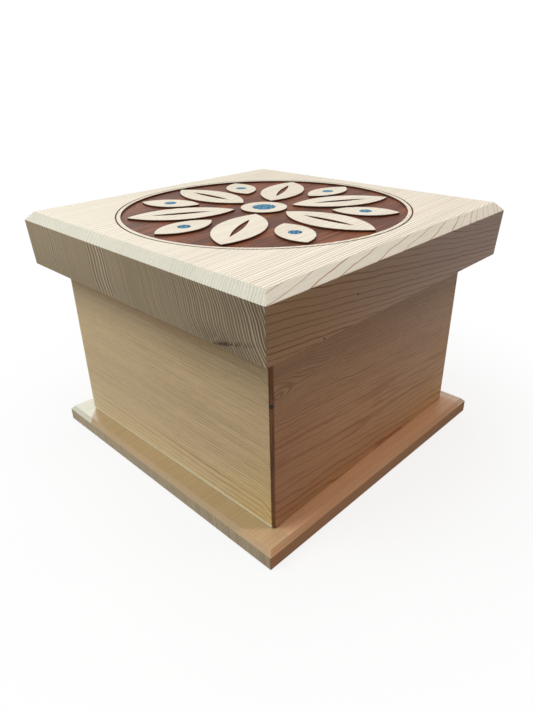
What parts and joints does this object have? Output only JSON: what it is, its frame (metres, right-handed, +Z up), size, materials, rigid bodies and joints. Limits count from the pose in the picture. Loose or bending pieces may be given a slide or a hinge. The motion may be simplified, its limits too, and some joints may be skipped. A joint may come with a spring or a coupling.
{
  "type": "bentwood box",
  "caption": "Square bentwood keepsake box: bent and lapped sides pegged to a wide chamfered base, and a thick lift-off lid carved with a stained rosette and inlaid with shell.",
  "frame": {"origin": "centre of the base board's underside", "axes": "+Z up; X and Y along the edges of the base and lid, with the lapped corner of the side plank at +X, -Y"},
  "size_m": [0.235, 0.235, 0.17],
  "materials": {
    "cedar_sides": "satin, fine straight grain round the box",
    "cedar_base": "satin, fine straight grain",
    "cedar_lid": "satin, with the sunk ground of the carving stained red-brown",
    "peg_wood": "plain, end grain showing",
    "blue_shell": "polished shell, blue to green"
  },
  "bodies": {
    "box": {"side_plank": "cedar_sides", "corner_pegs": "peg_wood", "base_board": "cedar_base", "base_pegs": "peg_wood"},
    "lid": {"lid_plank": "cedar_lid", "centre_shell": "blue_shell", "rosette_shell_1": "blue_shell", "rosette_shell_2": "blue_shell", "rosette_shell_3": "blue_shell", "rosette_shell_4": "blue_shell", "rosette_shell_5": "blue_shell", "rosette_shell_6": "blue_shell"}
  },
  "joints": [
    {"name": "lid_lift", "type": "slide", "parent": "box", "child": "lid", "axis": [0, 0, 1], "range_m": [0, 0.15]}
  ]
}
